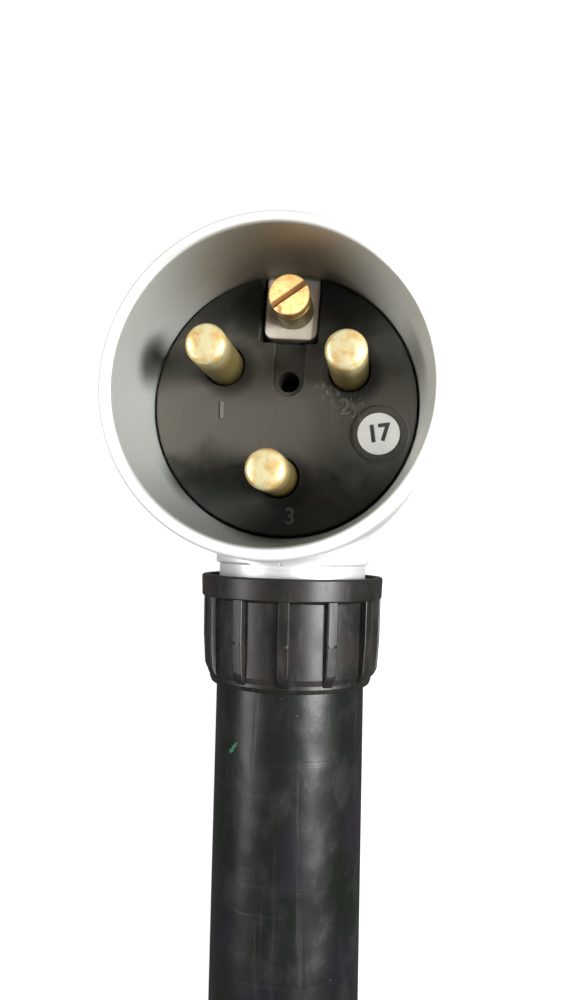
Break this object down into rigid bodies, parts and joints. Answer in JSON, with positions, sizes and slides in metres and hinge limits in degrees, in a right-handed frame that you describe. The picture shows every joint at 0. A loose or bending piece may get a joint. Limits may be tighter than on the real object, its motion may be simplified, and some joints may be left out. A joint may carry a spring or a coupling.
{
  "type": "shore power cord",
  "caption": "Heavy rubber power lead, coiled and tied, with an angled metal-clad pin plug at one end and an in-line socket connector at the other.",
  "frame": {"origin": "on the plug's own axis, at the flat back that the plug rests on", "axes": "+Z along the plug's axis, out of its pins; the cord leaves the plug along -Y"},
  "size_m": [0.4812, 0.5533, 0.0648],
  "materials": {
    "cast_metal": "die-cast, dull satin, scuffed",
    "insulator_plastic": "moulded thermoset, satin",
    "nut_plastic": "moulded nylon, satin, dusty between the ribs",
    "contact_brass": "turned, worn bright on the tips",
    "screw_steel": "zinc plated",
    "label_white": "printed disc",
    "seal_rubber": "moulded",
    "cord_rubber": "smooth heavy-duty jacket, scuffed and dusty",
    "tie_webbing": "woven strap",
    "core_brown": "extruded",
    "core_black": "extruded",
    "core_grey": "extruded",
    "core_green": "extruded, with a yellow stripe",
    "copper_strand": "bare stranded copper"
  },
  "bodies": {
    "lead": {"plug_housing": "cast_metal", "insulator": "insulator_plastic", "pin_1": "contact_brass", "pin_2": "contact_brass", "pin_3": "contact_brass", "terminal_screw_1": "contact_brass", "terminal_screw_2": "contact_brass", "terminal_screw_3": "contact_brass", "earth_pillar": "contact_brass", "earth_screw": "contact_brass", "insulator_screw": "screw_steel", "number_label": "label_white", "grommet": "seal_rubber", "inner_sheath": "seal_rubber", "core_line_1": "core_brown", "core_line_2": "core_black", "core_line_3": "core_grey", "core_earth": "core_green", "conductor_line_1": "copper_strand", "conductor_line_2": "copper_strand", "conductor_line_3": "copper_strand", "conductor_earth": "copper_strand", "cord_lead": "cord_rubber", "cord_coil": "cord_rubber", "cord_tail": "cord_rubber", "coil_tie_1": "tie_webbing", "coil_tie_2": "tie_webbing", "coil_tie_3": "tie_webbing", "connector_shell": "cast_metal", "connector_insulator": "insulator_plastic", "socket_contact_1": "contact_brass", "socket_contact_2": "contact_brass", "socket_contact_3": "contact_brass", "connector_terminal_screw_1": "contact_brass", "connector_terminal_screw_2": "contact_brass", "connector_terminal_screw_3": "contact_brass", "connector_earth_stud": "contact_brass", "connector_screw_1": "screw_steel", "connector_screw_2": "screw_steel", "connector_grommet": "seal_rubber", "connector_inner_sheath": "seal_rubber", "connector_core_line_1": "core_brown", "connector_core_line_2": "core_black", "connector_core_line_3": "core_grey", "connector_core_earth": "core_green", "connector_conductor_line_1": "copper_strand", "connector_conductor_line_2": "copper_strand", "connector_conductor_line_3": "copper_strand", "connector_conductor_earth": "copper_strand"},
    "plug_washer": {"slip_washer": "screw_steel"},
    "plug_nut": {"gland_nut": "nut_plastic"},
    "connector_washer": {"connector_slip_washer": "screw_steel"},
    "connector_nut": {"connector_gland_nut": "nut_plastic"}
  },
  "joints": [
    {"name": "plug_nut_turn", "type": "hinge", "parent": "plug_washer", "child": "plug_nut", "pos_m": [0, -0.04, 0.021], "axis": [0, -1, 0], "range_deg": [0, 720]},
    {"name": "plug_washer_slide", "type": "slide", "parent": "lead", "child": "plug_washer", "axis": [0, -1, 0], "range_m": [0, 0.003]},
    {"name": "connector_nut_turn", "type": "hinge", "parent": "connector_washer", "child": "connector_nut", "pos_m": [0.424, -0.108, 0.029], "axis": [0, -1, 0], "range_deg": [0, 720]},
    {"name": "connector_washer_slide", "type": "slide", "parent": "lead", "child": "connector_washer", "axis": [0, -1, 0], "range_m": [0, 0.003]}
  ],
  "couplings": [
    {"joint": "plug_washer_slide", "follows": "plug_nut_turn", "m_per_rad": 0.00023873},
    {"joint": "connector_washer_slide", "follows": "connector_nut_turn", "m_per_rad": 0.00023873}
  ]
}
